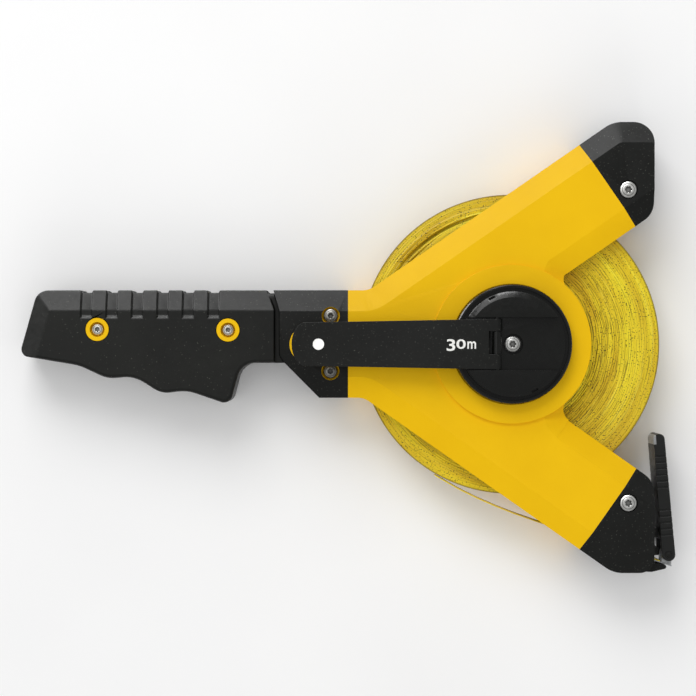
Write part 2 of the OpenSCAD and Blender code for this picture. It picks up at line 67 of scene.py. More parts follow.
def linear(hex_value, alpha=1.0):
    """sRGB hex to linear RGBA: a straight toe below 0.04045, a 2.4 power above it."""
    c = np.array([int(hex_value[i : i + 2], 16) for i in (1, 3, 5)], float) / 255.0
    lin = np.where(c <= 0.04045, c / 12.92, ((c + 0.055) / 1.055) ** 2.4)
    return (*[float(x) for x in lin], alpha)


print("frame yellow in linear light:", [round(x, 3) for x in linear("#f1c00a")])

# %% [markdown]
# ## Shader nodes
# A finish is a small tree of nodes. Each node could be made and wired in four or five lines, which
# soon hides the idea of the finish. One function makes any node, sets it and wires it, so that
# each line of a finish says one thing. Inputs are given in their order, as they are seen on the
# node, or by name.

# %% Add a node


def plug(tree, node, links):
    """Fills a node's inputs. links is a list in the order of the visible inputs, or a map by name. A
    value is stored in the input, a socket is wired to it, and a node stands for its first output."""
    if isinstance(links, list):
        links = dict(zip([i for i, s in enumerate(node.inputs) if s.enabled], links))
    for key, value in links.items():
        if isinstance(value, bpy.types.Node):
            value = next(s for s in value.outputs if s.enabled)
        if isinstance(value, bpy.types.NodeSocket):
            tree.links.new(value, node.inputs[key])
        else:
            node.inputs[key].default_value = value
    return node


def add(tree, kind, links=(), stops=(), **settings):
    """Adds a shader node: settings are its own properties, links fills its inputs, and stops are the
    (place, colour) pairs of a colour ramp."""
    n = tree.nodes.new("ShaderNode" + kind)
    for key, value in settings.items():
        setattr(n, key, value)
    for i, (place, colour) in enumerate(stops):
        marks = n.color_ramp.elements
        mark = marks[i] if i < 2 else marks.new(place)
        mark.position, mark.color = place, colour
    return plug(tree, n, links or {})


def new_material(name):
    """A material with its output and a Principled shader, and the Object coordinates in metres."""
    m = bpy.data.materials.new(name)
    m.use_nodes = True
    t = m.node_tree
    t.nodes.clear()
    shader = add(t, "BsdfPrincipled")
    add(t, "OutputMaterial", {"Surface": shader})
    return m, t, shader, add(t, "TexCoord").outputs["Object"]


print("helpers: plug, add, new_material")

# %% [markdown]
# ## Moulded plastics
# Every plastic part here copies the wall of its mould. A polished mould leaves a satin face that
# only waves a little where thick walls sink. A spark eroded mould leaves a grain of some tenths of
# a mm, and its highest grains catch single points of light, which are painted into the colour here
# as light specks: painted glints. Pictures of such faces could be wrapped round the parts, but they
# stretch and repeat. Noise in Object coordinates has a true size and no seam.

# %% Recipe for a moulded face
# sizes in mm of the slow waves over a thick wall, and of the scuffs from handling. Real scuffs are
# hairs of 0.05 mm, too fine to show, so these are drawn as coarse patches of duller face
SINK_MM, SCUFF_MM = 26.3, 4.76


def painted_glints(t, where, base, grain_mm, glint, share):
    """Paints glints into a colour as light specks, for grains that catch the light: round dots on a
    cell pattern, kept only where a second noise is high. A larger share keeps more of them."""
    dots = add(t, "TexVoronoi", {"Vector": where, "Scale": 1000 / (grain_mm * 1.7)}, feature="F1")
    pick = add(t, "TexNoise", {"Vector": where, "Scale": 1000 / (grain_mm * 2.3), "Detail": 1.0})
    # Map Range takes a value, the range it comes from, and the range it goes to
    near = add(t, "MapRange", [dots, 0.1, 0.34, 1.0, 0.0])
    some = add(t, "MapRange", [pick, 0.64 - share, 0.7 - share, 0.0, 1.0])
    amount = add(t, "Math", [near, some], operation="MULTIPLY")
    return add(t, "Mix", [amount, base, linear(glint)], data_type="RGBA")


def moulded(
    name, colour, shade, *, rough, grain_mm, grain_depth, waves=0.02, ior=1.5, shine=0.5, glint=None
):
    """Plastic from a mould. grain_mm is the width of the grain and grain_depth its height in mm, waves
    is the height of the slow waves in mm, and glint is the (colour, share) of its painted glints."""
    m, t, shader, where = new_material(name)
    grain = add(
        t, "TexNoise", {"Vector": where, "Scale": 1000 / grain_mm, "Detail": 2.5, "Roughness": 0.6}
    )
    slow = add(
        t, "TexNoise", {"Vector": where, "Scale": 1000 / SINK_MM, "Detail": 3.0, "Roughness": 0.55}
    )
    scuff = add(
        t, "TexNoise", {"Vector": where, "Scale": 1000 / SCUFF_MM, "Detail": 5.0, "Roughness": 0.7}
    )
    plug(t, scuff, {"Distortion": 1.2})
    base = add(t, "ValToRGB", [slow], stops=[(0.3, linear(colour)), (0.75, linear(shade))])
    # painted glints: light specks in the colour, where raised grains would catch the light
    if glint:
        base = painted_glints(t, where, base, grain_mm, *glint)
    dull = add(t, "MapRange", [scuff, 0.35, 0.7, rough - 0.05, rough + 0.1])
    sunk = add(t, "Bump", {"Height": slow, "Strength": 1.0, "Distance": waves * MM})
    fine = add(t, "Bump", {"Height": grain, "Strength": 1.0, "Distance": grain_depth * MM})
    plug(t, fine, {"Normal": sunk})
    plug(t, shader, {"Base Color": base, "Roughness": dull, "Normal": fine})
    plug(t, shader, {"IOR": ior, "Specular IOR Level": shine})
    return m


print("moulded faces: waves of", SINK_MM, "mm, scuffs of", SCUFF_MM, "mm")

# %% [markdown]
# ## The plastics of the reel
# The frame and the knob are ABS, the black hard parts nylon, and the grip a soft rubbery TPE. All
# of them could share one black, but under one light they differ by their grain and their shine, so
# each gets its own numbers from the same recipe.

# %% Plastics
# ABS from a polished mould: an even satin yellow that hardly mirrors anything
YELLOW = moulded(
    "satin_abs_yellow", "#f1c00a", "#ecba08",
    rough=0.46, grain_mm=0.5, grain_depth=0.003, waves=0.12, shine=0.1,
)
# glass filled nylon from a spark eroded mould: near black, with grey painted glints where the grain
# stands up
NYLON = moulded(
    "textured_nylon_black", "#0e0f0d", "#131412",
    rough=0.4, grain_mm=0.42, grain_depth=0.025, shine=0.23, glint=("#5a5b54", 0.05),
)
# the same nylon from a smoother mould: a soft broad gleam without points
DISC = moulded(
    "satin_nylon_black", "#0a0b09", "#0e0f0d",
    rough=0.25, grain_mm=0.35, grain_depth=0.004, shine=0.3,
)
# overmoulded TPE: the coarsest grain of the blacks, with fewer and darker painted glints
GRIP = moulded(
    "soft_tpe_black", "#0f100e", "#151613",
    rough=0.39, grain_mm=0.6, grain_depth=0.035, ior=1.48, shine=0.26, glint=("#44453e", 0.03),
)
# nylon rubbed smooth by thumbs: its ribs carry a thin bright line
HOOK = moulded(
    "ribbed_nylon_black", "#0c0d0b", "#111210",
    rough=0.36, grain_mm=0.4, grain_depth=0.01, shine=0.4,
)
# the drum's nylon, left in its natural dark grey
CORE = moulded(
    "core_nylon_grey", "#2b2c2a", "#323330", rough=0.5, grain_mm=0.5, grain_depth=0.01
)
# the coating of the tape, seen flat: a smooth, slightly waxy yellow
TAPE = moulded(
    "coated_fibre_tape", "#ead02a", "#e3c422", rough=0.4, grain_mm=0.6, grain_depth=0.006
)
print("plastics:", [m.name for m in (YELLOW, NYLON, DISC, GRIP, HOOK, CORE, TAPE)])

# %% [markdown]
# ## Plated steel
# Screws, rivet, clip and hook tip are steel with a thin plating. Turning and drawing leave fine
# marks in one direction, and sockets and grooves lie in shade. The marks could be cut as real
# grooves, but at 0.12 mm apart they only matter to the gleam. So a noise, stretched twelve times
# along them, changes the roughness and a shallow bump. The shade in sockets and grooves is painted:
# a number kept in the mesh, which knows its own hollows, darkens the colour there.

# %% Metals
# width in mm of the blotches that handling leaves on plating
STAIN_MM = 2.38


def plated(name, colour, dark, rough, mark_mm=0.12):
    """Plated steel with marks mark_mm apart and twelve times as long. The attribute painted_shade, 0
    to
    1 on each point of the mesh, darkens it: painted shade in its hollows."""
    m, t, shader, where = new_material(name)
    # across the marks, along them, and a slow 2.5 mm down through the part
    stretch = (1000 / mark_mm, 1000 / (mark_mm * 12), 1000 / 2.5)
    stretched = add(t, "Mapping", {"Vector": where, "Scale": stretch})
    marks = add(t, "TexNoise", {"Vector": stretched, "Scale": 1.0, "Detail": 3.0})
    stain = add(t, "TexNoise", {"Vector": where, "Scale": 1000 / STAIN_MM, "Detail": 3.0})
    base = add(t, "ValToRGB", [stain], stops=[(0.35, linear(colour)), (0.8, linear(dark))])
    # painted shade: near black mixed in where the mesh marks a hollow
    painted_shade = add(t, "Attribute", attribute_name="painted_shade").outputs["Fac"]
    base = add(t, "Mix", [painted_shade, base, linear("#161615")], data_type="RGBA")
    dull = add(t, "MapRange", [marks, 0.3, 0.7, rough - 0.08, rough + 0.1])
    bump = add(t, "Bump", {"Height": marks, "Strength": 1.0, "Distance": 0.004 * MM})
    plug(t, shader, {"Base Color": base, "Roughness": dull, "Normal": bump, "Metallic": 1.0})
    return m


# zinc plating, fresh: pale, slightly warm and half dull
ZINC = plated("zinc_plated_steel", "#dededb", "#b5b5b1", 0.42)
# the same plating painted darker and mottled: painted shade for the collar screws deep in their
# counterbores
SHADED_ZINC = plated("shaded_zinc_steel", "#a9a8a3", "#7b7a76", 0.42)
# the rivet head: pale steel pushed almost to white, partly a painted highlight, too dull to mirror
# anything
BRIGHT = plated("rivet_steel_painted_highlight", "#fbfbf9", "#f2f2ee", 0.7)
# strip from the press: bluish, with the clearest gleam
STRIP = plated("pressed_steel_strip", "#c6c8c9", "#97999a", 0.32)
# black oxide on hidden pins
BLACK_STEEL = plated("black_oxide_steel", "#3a3a39", "#2a2a29", 0.4)
print("metals:", [m.name for m in (ZINC, SHADED_ZINC, BRIGHT, STRIP, BLACK_STEEL)])

# %% [markdown]
# ## Noise that runs in rings
# The side of the roll is some eighty turns of tape seen on edge. Each turn could be its own ring,
# but that is half a million faces for hairs of colour. The turns follow the distance from the hub
# instead, so the shader works that distance out. The direction from the hub and the distance
# together feed a noise. Scaling the two apart draws the noise out into arcs, and since the
# direction is a vector and not an angle, there is no seam where a full turn ends.

# %% Polar noise


def polar(t, where):
    """Splits a point into its distance from the hub in mm and its direction from the hub."""
    flat = add(t, "VectorMath", [where, (1.0, 1.0, 0.0)], operation="MULTIPLY")
    length = add(t, "VectorMath", [flat], operation="LENGTH").outputs["Value"]
    radius = add(t, "Math", [length, 1000.0], operation="MULTIPLY")
    return radius, add(t, "VectorMath", [flat], operation="NORMALIZE")


def ring_noise(t, radius, way, per_mm, along, detail=2.0, rough=0.6):
    """Noise drawn out into arcs, at the point (along * direction, per_mm * distance): per_mm is how
    fast it changes outwards, along how fast it changes round."""
    turn = add(t, "VectorMath", {0: way, "Scale": along}, operation="SCALE")
    parts = add(t, "SeparateXYZ", [turn])
    out = add(t, "Math", [radius, per_mm], operation="MULTIPLY")
    joined = add(t, "CombineXYZ", [parts.outputs["X"], parts.outputs["Y"], out])
    noise = {"Vector": joined, "Scale": 1.0, "Detail": detail, "Roughness": rough}
    return add(t, "TexNoise", noise)


print("helpers: polar, ring_noise")

# %% [markdown]
# ## Gaps between the turns
# Where two turns don't touch, shade falls in the gap, and it is painted here as a thin dark line.
# The lines are about 1 mm apart, and drift in and out because the tape is never wound evenly. They
# could be drawn as circles, which looks like a record. Here the distance, pushed by a slow noise,
# is cut into whole millimetres, and a second noise lets each line come and go.

# %% Lines between turns


def turn_lines(t, radius, way):
    """1 half way between two whole mm of the pushed distance, falling to 0 a fifth of a mm away. That
    is times a noise that breaks the lines, and times a fade from the hub (0.95) to the rim (0.3)."""
    push = ring_noise(t, radius, way, 0.2, 1.6)
    count = add(t, "Math", [push, 3.4, radius], operation="MULTIPLY_ADD")
    part = add(t, "Math", [count], operation="FRACT")
    off = add(t, "Math", [part, 0.5], operation="SUBTRACT")
    off = add(t, "Math", [off], operation="ABSOLUTE")
    line = add(t, "MapRange", [off, 0.06, 0.2, 1.0, 0.0])
    come = add(t, "MapRange", [ring_noise(t, radius, way, 1.1, 5.0), 0.4, 0.56, 0.0, 1.0])
    fade = add(t, "MapRange", [radius, 44.0, 72.0, 0.95, 0.3])
    drawn = add(t, "Math", [line, come], operation="MULTIPLY")
    return add(t, "Math", [drawn, fade], operation="MULTIPLY")


print("turn lines: 1 mm apart")

# %% [markdown]
# ## The wound tape on edge
# The tape is yellow all through, so its edges are yellow too: some turns lighter, a few parted
# from their neighbour, and the black print of the scale showing as dots wherever it reaches the
# edge. Parted turns, the gaps between turns, sunken turns and the corner of the roll get painted
# shade, a darker brown in the colour. One picture could hold all that. Layers of noise laid over
# each other, each with its own real size, keep it sharp from any distance.

# %% Finish of the roll's sides
# a dot of print is about 0.1 mm on the real tape, too fine to show, so it is drawn at 0.7 mm
DOT_MM, DOT_PATCH_MM = 0.714, 7.7


def print_dots(t, where):
    """Scattered dots: peaks of a fine noise, times a slow noise that makes patches of them."""
    dots = add(t, "TexNoise", {"Vector": where, "Scale": 1000 / DOT_MM, "Detail": 0.0})
    patch = add(t, "TexNoise", {"Vector": where, "Scale": 1000 / DOT_PATCH_MM, "Detail": 2.0})
    peaks = add(t, "MapRange", [dots, 0.65, 0.73, 0.0, 1.0])
    some = add(t, "MapRange", [patch, 0.34, 0.62, 0.35, 1.0])
    return add(t, "Math", [peaks, some], operation="MULTIPLY")


def wound_edge(name):
    """Turns of coated tape on edge. From the bottom: tones in broad bands, lighter pairs of turns,
    painted shade in parted turns and in the lines between turns, dots of print, painted shade by the
    attribute painted_shade, and where painted_shade is below nought the plain face of the last turn."""
    m, t, shader, where = new_material(name)
    radius, way = polar(t, where)
    gaps = ring_noise(t, radius, way, 1.9, 2.2, 1.0, 0.5)
    pairs = ring_noise(t, radius, way, 0.7, 1.2)
    bands = ring_noise(t, radius, way, 0.14, 0.9, 2.0, 0.5)
    lines = turn_lines(t, radius, way)
    painted_shade = add(t, "Attribute", attribute_name="painted_shade").outputs["Fac"]
    tones = [(0.35, linear("#d2b118")), (0.5, linear("#e5cb21")), (0.68, linear("#f1e12b"))]
    edge = add(t, "MapRange", [radius, 42.0, 72.0, 0.44, 0.34])
    low = add(t, "Math", [edge, 0.07], operation="SUBTRACT")
    base = add(t, "ValToRGB", [bands], stops=tones)
    for amount, colour in (
        (add(t, "MapRange", [pairs, 0.56, 0.72, 0.0, 0.4]), "#f7ec55"),
        # painted shade where turns part, and dark lines for the shade in the gaps between turns
        (add(t, "MapRange", [gaps, low, edge, 0.7, 0.0]), "#7a650e"),
        (lines, "#66540a"),
        (print_dots(t, where), "#2c2606"),
        # painted shade: sunken turns and the outer corner, in a darker brown
        (painted_shade, "#6f5a12"),
        (add(t, "MapRange", [painted_shade, -0.9, -0.1, 1.0, 0.0]), "#e6cb26"),
    ):
        base = add(t, "Mix", [amount, base, linear(colour)], data_type="RGBA")
    dull = add(t, "MapRange", [gaps, 0.3, 0.7, 0.62, 0.45])
    groove = add(t, "Math", [gaps, lines], operation="SUBTRACT")
    bump = add(t, "Bump", {"Height": groove, "Strength": 1.0, "Distance": 0.2 * MM})
    plug(t, shader, {"Base Color": base, "Roughness": dull, "Normal": bump})
    plug(t, shader, {"Specular IOR Level": 0.3})
    return m


WOUND = wound_edge("coated_fibre_tape_on_edge")
print("roll finish:", WOUND.name, "with", len(WOUND.node_tree.nodes), "nodes")

# %% [markdown]
# ## Handing a piece over
# A finished piece has to move with the right body of the real object: the roll with the drum, the
# tip with the hook. Parenting could do it, but the frame already knows its joints. So each new
# piece is hung on an empty named after the body it rides on, and the solid it stands in for is
# hidden.

# %% Tell the frame about a piece


def hand_over(obj, body, replaced, material):
    """Gives a finished piece its finish and the body it moves with."""
    obj.data.materials.clear()
    obj.data.materials.append(material)
    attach(obj, body)
    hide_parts(replaced)
    return obj


print("bodies to ride on: frame, drum, crank, knob, hook")

# %% [markdown]
# ## Softened edges
# No moulded edge is sharp. The tool leaves a small radius, and that radius is what catches the
# light and draws the outline of each part. The exact solids have sharp edges. Rounding every edge
# of their triangles would crease the flat faces, so a copy of the mesh is merged and its flat
# triangles are dissolved back into whole faces first. Then the Bevel modifier rounds only the real
# edges, each by its own weight.

# %% Rounded copy of a solid
# points closer than this are one point (m), and faces that differ by less than this are one face
SAME_POINT, SAME_FACE = 2e-6, math.radians(0.4)


def softened(node, body, material, radius, angle=20.0, segments=2, wide=None, wide_r=0.0, clamp=True):
    """A copy of a solid whose edges are rounded to radius (mm) where faces meet at more than angle.
    wide picks, from an edge's middle (mm) and its outward direction, those that get wide_r instead."""
    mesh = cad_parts[node].data.copy()
    mesh.name = node + "_soft"
    b = bmesh.new()
    b.from_mesh(mesh)
    bmesh.ops.remove_doubles(b, verts=b.verts, dist=SAME_POINT)
    bmesh.ops.dissolve_limit(
        b, angle_limit=SAME_FACE, verts=b.verts, edges=b.edges, delimit={"NORMAL"}
    )
    weight = b.edges.layers.float.new("bevel_weight_edge")
    most = max(radius, wide_r)
    for e in b.edges:
        if len(e.link_faces) == 2 and e.calc_face_angle() > math.radians(angle):
            middle = (e.verts[0].co + e.verts[1].co) / 2 / MM
            facing = (e.link_faces[0].normal + e.link_faces[1].normal).normalized()
            chosen = wide is not None and wide(middle, facing)
            e[weight] = (wide_r if chosen else radius) / most
    b.to_mesh(mesh)
    b.free()
    mesh.polygons.foreach_set("use_smooth", np.ones(len(mesh.polygons), bool))
    mesh.set_sharp_from_angle(angle=math.radians(angle + 10))
    obj = bpy.data.objects.new(node + "_rounded", mesh)
    bpy.context.scene.collection.objects.link(obj)
    bevel = obj.modifiers.new("edge radius", "BEVEL")
    bevel.width = most * MM
    bevel.segments = segments
    bevel.limit_method = "WEIGHT"
    bevel.harden_normals = True
    bevel.use_clamp_overlap = clamp
    hand_over(obj, body, node, material)
    print(f"{node}: {len(mesh.polygons)} faces, edges rounded to {radius} mm")
    return obj


print("rounding: two segments to an edge, where faces meet at more than 20 degrees")

# %% [markdown]
# ## The front shell
# On the real shell the step of the boss and the long sides of the arms have a rounder edge than
# the rest, and they show as light lines. A second bevel could round them again. One bevel with two
# weights does both at once and keeps their corners clean.

# %% Front shell
# the step of the boss, in mm: above this height and outside this radius lies only its edge
BOSS_Z, BOSS_R = 37.2, 39.0


def shell_rim(middle, facing):
    """The rounder edges: the step of the boss, and those on the front that lean towards +Y."""
    boss_step = middle.z > BOSS_Z and middle.xy.length > BOSS_R
    return boss_step or (facing.y > 0.35 and facing.z > 0.2 and middle.z > MID)


softened("front_shell", "frame", YELLOW, 0.5, wide=shell_rim, wide_r=0.9)

# %% [markdown]
# ## The other moulded and pressed parts
# Each part has the edge radius that its making leaves: 0.5 to 0.7 mm on the big mouldings, 0.3 mm
# on small ones, and 0.1 mm on the clip, which is bent from strip. Every part could be rounded by
# hand. One loop over a table of radii keeps them together, where they can be compared.

# %% Parts with one edge radius
for node, body, material, radius in (
    ("rear_shell", "frame", YELLOW, 0.5),
    ("collar_front", "frame", NYLON, 0.7),
    ("collar_rear", "frame", NYLON, 0.7),
    ("upper_cap", "frame", NYLON, 0.6),
    ("lower_cap", "frame", NYLON, 0.6),
    ("crank_disc", "drum", DISC, 0.3),
    ("crank_arm", "crank", NYLON, 0.4),
    ("hook_lever", "hook", HOOK, 0.35),
    ("hook_tip", "hook", STRIP, 0.3),
    ("knob", "knob", YELLOW, 0.3),
    ("end_clip", "frame", STRIP, 0.1),
    ("hook_catch", "frame", NYLON, 0.3),
):
    softened(node, body, material, radius)

# %% [markdown]
# ## The grip
# Fingers close round the scalloped side of the grip, so its outer edges are much rounder there
# than at the back. A sculpted mesh could show that, but its outline would no longer be the
# measured one. The bevel takes 1.8 mm along that side and 0.6 mm elsewhere, in three segments
# because the curve is wide.

# %% Grip covers
# where the scallops lie, in mm: between the butt and the guard, below the handle's middle, and near
# the faces rather than the seam
BUTT_X, GUARD_X, PALM_Y, NEAR_FACE = -236, -120, -5, 12


def finger_side(middle, facing):
    """The outer edges of the scalloped side, short of the butt."""
    along = BUTT_X < middle.x < GUARD_X and middle.y < PALM_Y
    return abs(facing.z) > 0.3 and abs(middle.z - MID) > NEAR_FACE and along


for node in ("grip_front", "grip_rear"):
    softened(node, "frame", GRIP, 0.6, segments=3, wide=finger_side, wide_r=1.8, clamp=False)

# %% [markdown]
# ## Surfaces from grids
# Roll and screws are round about an axis, with small departures. They could be a Screw modifier on
# a profile, but that can't make turns drift or lobes fade. So each is a grid of points worked out
# as whole arrays: one way along the profile, the other way round the axis. This helper sews the
# grid into a closed mesh and keeps the dirt of every point with it.

# %% Grid to mesh


def surface(name, grids, painted_shade, wrap_rows=False, poles=False):
    """One mesh from grids of points (rows, columns, 3) in mm. Point (r, c) is joined to (r, c + 1),
    (r + 1, c + 1) and (r + 1, c). Columns always close round. The rows close into a ring with
    wrap_rows, or each end of the rows closes on its own centre point with poles. painted_shade holds
    a (rows, columns) array of painted shade for each grid, kept as a point attribute for the shaders."""
    points, faces, painted_shade_values, total = [], [], [], 0
    for grid, dark in zip(grids, painted_shade):
        rows, cols, _ = grid.shape
        first = total
        last_row = rows if wrap_rows else rows - 1
        r, c = np.meshgrid(np.arange(last_row), np.arange(cols), indexing="ij")
        r2, c2 = (r + 1) % rows, (c + 1) % cols
        quads = np.stack([r * cols + c, r * cols + c2, r2 * cols + c2, r2 * cols + c], -1)
        faces += (quads.reshape(-1, 4) + first).tolist()
        points.append(grid.reshape(-1, 3))
        painted_shade_values.append(dark.reshape(-1))
        total += rows * cols
        for row in (0, rows - 1) if poles else ():
            ring = first + row * cols + np.arange(cols)
            faces += np.stack([ring, np.roll(ring, -1), np.full(cols, total)], -1).tolist()
            points.append(grid[row].mean(0, keepdims=True))
            painted_shade_values.append(dark[row, :1])
            total += 1
    mesh = bpy.data.meshes.new(name)
    mesh.from_pydata((np.concatenate(points) * MM).tolist(), [], faces)
    b = bmesh.new()
    b.from_mesh(mesh)
    bmesh.ops.recalc_face_normals(b, faces=b.faces)
    b.to_mesh(mesh)
    b.free()
    kept = mesh.attributes.new("painted_shade", "FLOAT", "POINT")
    kept.data.foreach_set("value", np.concatenate(painted_shade_values))
    mesh.polygons.foreach_set("use_smooth", np.ones(len(mesh.polygons), bool))
    obj = bpy.data.objects.new(name, mesh)
    bpy.context.scene.collection.objects.link(obj)
    return obj


print("grid helper: surface")

# %% [markdown]
# ## How the turns of tape drift
# A roll is never perfectly flat on its side. Turns wander by a tenth of a millimetre, and here and
# there a few turns have slipped and stand proud or sink. A bump map could fake it, but at the rim
# the outline itself is uneven. Both departures are heights added to the grid.

# %% Wander and slips
# the roll's inner and outer radius and its width in mm, and the turns that its sides are cut into
roll_low, roll_high = (np.array(corner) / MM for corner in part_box("wound_tape"))
CORE_R = round(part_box("drum_core")[1].x / MM, 2)
ROLL_R = round((roll_high[0] - roll_low[0]) / 2, 2)
TAPE_W = round(roll_high[2] - roll_low[2], 2)
TURNS = 90


def wander(radius, angle, seed):
    """How far the edge of the turn at a radius sits from the flat, in mm: a random height for each
    turn of tape, times a slow wave round the roll, 0.6 + 0.4 cos(count * angle + phase)."""
    rng = np.random.default_rng(seed)
    height = rng.normal(0, 1, TURNS)
    phase = rng.uniform(0, 2 * np.pi, TURNS)
    count = rng.integers(1, 4, TURNS)
    t = (radius - CORE_R) / (ROLL_R - CORE_R) * (TURNS - 1)
    t = np.clip(t.astype(int), 0, TURNS - 1)
    lean = 0.6 + 0.4 * np.cos(count[t] * angle + phase[t])
    return 0.09 * height[t] * lean


def slipped(radius, angle, at_angle, at_radius, width, length, height):
    """A few turns that slipped sideways: height times exp(-x^4) across them, x = distance / width,
    times exp(-y^4) along them, y = angle / length. The ridge runs slightly outwards along its arc."""
    away = np.angle(np.exp(1j * (angle - at_angle)))
    middle = at_radius + 0.5 * (away / length)
    return height * np.exp(-(((radius - middle) / width) ** 4)) * np.exp(-((away / length) ** 4))


print("roll:", CORE_R, "to", ROLL_R, "mm,", TAPE_W, "mm wide")

# %% [markdown]
# ## The roll of tape
# The roll is one ring shaped surface: its profile goes out along the front side, across the rim
# and back along the rear side and the bore. The front side has 200 rows because the camera sees
# it, the rear one 60. Painted shade lies in the sunken turns and along the outer corner.

# %% Roll of tape
# turns that sank (two places) and turns that stand proud: angle in radians, radius and width in mm,
# length of the arc in radians, and height, which is a share of the depth below for the sunken ones
SUNK, SUNK_TOO = (2.16, 66.9, 0.8, 0.36, 1.0), (2.45, 65.2, 0.4, 0.2, 1.0)
PROUD = (2.2, 70.3, 0.5, 0.5, 0.25)
SUNK_DEPTH, SUNK_TOO_DEPTH = 1.9, 0.9


def wound_roll():
    """At each row of the profile a circle of its radius. Height = side * half the width, side = 1 on
    the front, -1 on the rear and between them on the rim, plus wander, minus what sank, plus what
    stands proud, held within the width of the tape."""
    n_face, n_rear, n_rim, n_turn = 200, 60, 6, 288
    out = np.linspace(CORE_R, ROLL_R, n_face)
    rim = np.linspace(0, 1, n_rim + 2)[1:-1]
    back = np.linspace(ROLL_R, CORE_R, n_rear)
    radius = np.concatenate([out, np.full(n_rim, ROLL_R), back])
    side = np.concatenate([np.ones(n_face), 1 - 2 * rim, -np.ones(n_rear)])[:, None]
    front, rear = side == 1.0, side == -1.0
    angle = np.linspace(0, 2 * np.pi, n_turn, endpoint=False)
    rr, aa = np.meshgrid(radius, angle, indexing="ij")
    z = side * (TAPE_W / 2 - 0.3) * np.ones_like(rr)
    z += np.where(front, wander(rr, aa, 4), 0) - np.where(rear, wander(rr, aa, 9), 0)
    sunk = np.where(front, slipped(rr, aa, *SUNK), 0)
    sunk_too = np.where(front, slipped(rr, aa, *SUNK_TOO), 0)
    z -= SUNK_DEPTH * sunk + SUNK_TOO_DEPTH * sunk_too
    z += np.where(front, slipped(rr, aa, *PROUD), 0)
    z = np.clip(z, -TAPE_W / 2, TAPE_W / 2)
    # painted shade along the outer corner and in sunken turns; -1 on the rim, which keeps its plain
    # face
    corner = np.clip((rr - ROLL_R + 0.9) / 0.7, 0, 1) * 0.85
    painted_shade = np.where(front | rear, corner + 0.6 * sunk + 0.4 * sunk_too, -1.0)
    return np.stack([rr * np.cos(aa), rr * np.sin(aa), z + MID], -1), painted_shade


roll_grid, roll_painted_shade = wound_roll()
roll = surface("wound_tape_turns", [roll_grid], [roll_painted_shade], wrap_rows=True)
hand_over(roll, "drum", "wound_tape", WOUND)
print("roll:", len(roll.data.polygons), "faces")

# %% [markdown]
# ## A screw
# All seven screws are one shape at four sizes: a domed pan head with a six lobed socket, and a
# shank that tapers at its end. The socket could be cut out with a Boolean, which leaves a ragged
# edge. As rings of one surface the lobes can fade from the socket outwards, so that the head's rim
# is a circle.

# %% Screw surface


def screw(at, top, head_r, head_t, shank_r, length, turn=0.0):
    """Rings from the socket's floor, up its wall, over the dome, under the head and down the shank.
    Each ring's radius is its mean * (1 + lobes * cos(6 * angle)). A shallow groove runs round the
    dome at 0.7 of its radius. Returns the points and the painted shade, darkest in socket and groove."""
    socket = head_r * 0.37
    # each ring: mean radius, height, lobes, painted shade (dark in the socket, the groove and under
    # the head)
    rings = [
        (0.25 * socket, -0.6 * head_t, 0.2, 0.6),
        (0.96 * socket, -0.6 * head_t, 0.2, 0.85),
        (socket, -0.08 * head_t, 0.2, 0.75),
        (1.1 * socket, -0.01 * head_t, 0.1, 0.1),
    ]
    for k in np.linspace(0, 1, 25):
        r = 1.15 * socket + (head_r - 1.15 * socket) * np.sin(k * np.pi / 2)
        groove = np.exp(-(((r / head_r - 0.7) / 0.05) ** 2))
        dome = -0.45 * head_t * (1 - np.cos(k * np.pi / 2))
        rings.append((r, dome - 0.12 * groove, 0.0, 0.7 * groove))
    rings += [
        (head_r, -head_t + 0.1, 0.0, 0.5),
        (head_r - 0.1, -head_t, 0.0, 0.5),
        (shank_r, -head_t, 0.0, 0.3),
        (shank_r, -length + 1.2, 0.0, 0.0),
        (shank_r * 0.6, -length, 0.0, 0.0),
    ]
    r, z, lobes, painted_shade = (np.array(column)[:, None] for column in zip(*rings))
    a = np.linspace(0, 2 * np.pi, 72, endpoint=False)
    rr = r * (1 + lobes * np.cos(6 * (a + turn)))
    points = np.stack([at[0] + rr * np.cos(a), at[1] + rr * np.sin(a), top + z + 0 * rr], -1)
    return points, painted_shade + 0 * rr


print("screw: rings of 72 points")

# %% [markdown]
# ## Where the screws sit
# The frame holds each kind of screw as one node, with one or two solids in it. Their places could
# be typed in again, but if the frame changed they would be wrong. They are measured from the node,
# and one loop then makes every screw, each turned a little further, as a hand would leave them.

# %% Screws in place


def middle_of_solids(node):
    """Centres (mm) of a node's one or two solids seen along Z, and their top: the vertices are split
    at the middle of the longer side of their box, unless the box is small enough for one screw."""
    co = np.array([v.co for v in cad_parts[node].data.vertices]) / MM
    lo, hi = co.min(0), co.max(0)
    axis = int((hi - lo)[1] > (hi - lo)[0])
    if (hi - lo)[:2].max() < 12:
        groups = [co]
    else:
        split = co[:, axis] > (lo[axis] + hi[axis]) / 2
        groups = [co[split], co[~split]]
    return [((g.min(0) + g.max(0)) / 2)[:2] for g in groups], hi[2]


